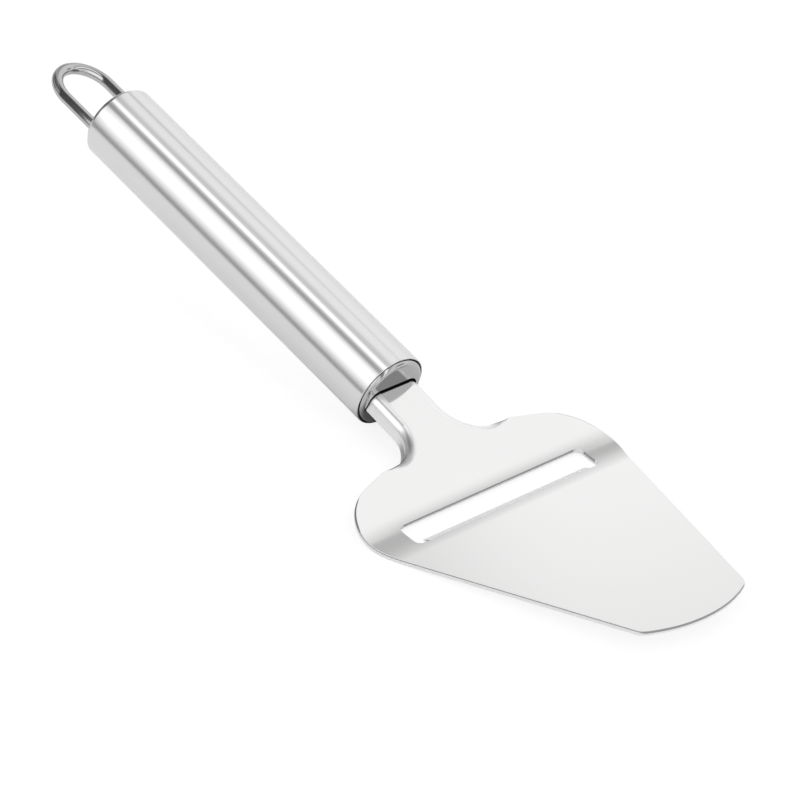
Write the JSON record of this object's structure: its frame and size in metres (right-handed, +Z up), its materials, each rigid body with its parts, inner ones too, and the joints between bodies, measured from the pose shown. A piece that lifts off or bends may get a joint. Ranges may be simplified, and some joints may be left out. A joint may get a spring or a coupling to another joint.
{
  "type": "cheese spatula",
  "caption": "All-steel cheese spatula: slotted blade bent to a shallow valley, tapered to a round tip, on a channel neck in a round tube handle with a wire hanging loop.",
  "frame": {"origin": "on the table under the middle of the tool's box, as it lies at rest on the handle's front edge and the blade's valley", "axes": "+Y runs from the hanging loop towards the blade's tip, +Z is up from the table, +X is across the blade"},
  "size_m": [0.0776, 0.2338, 0.0447],
  "materials": {
    "satin_steel": "satin, finely ground",
    "polished_steel": "polished along its length",
    "mirror_steel": "mirror polish",
    "weld_steel": "as welded, dull"
  },
  "bodies": {
    "root": {"blade": "satin_steel", "handle_tube": "polished_steel", "front_cap": "mirror_steel", "rear_cap": "mirror_steel", "hanging_loop": "mirror_steel", "tang_weld_upper": "weld_steel", "tang_weld_lower": "weld_steel", "loop_weld_left": "weld_steel", "loop_weld_right": "weld_steel"}
  },
  "joints": []
}
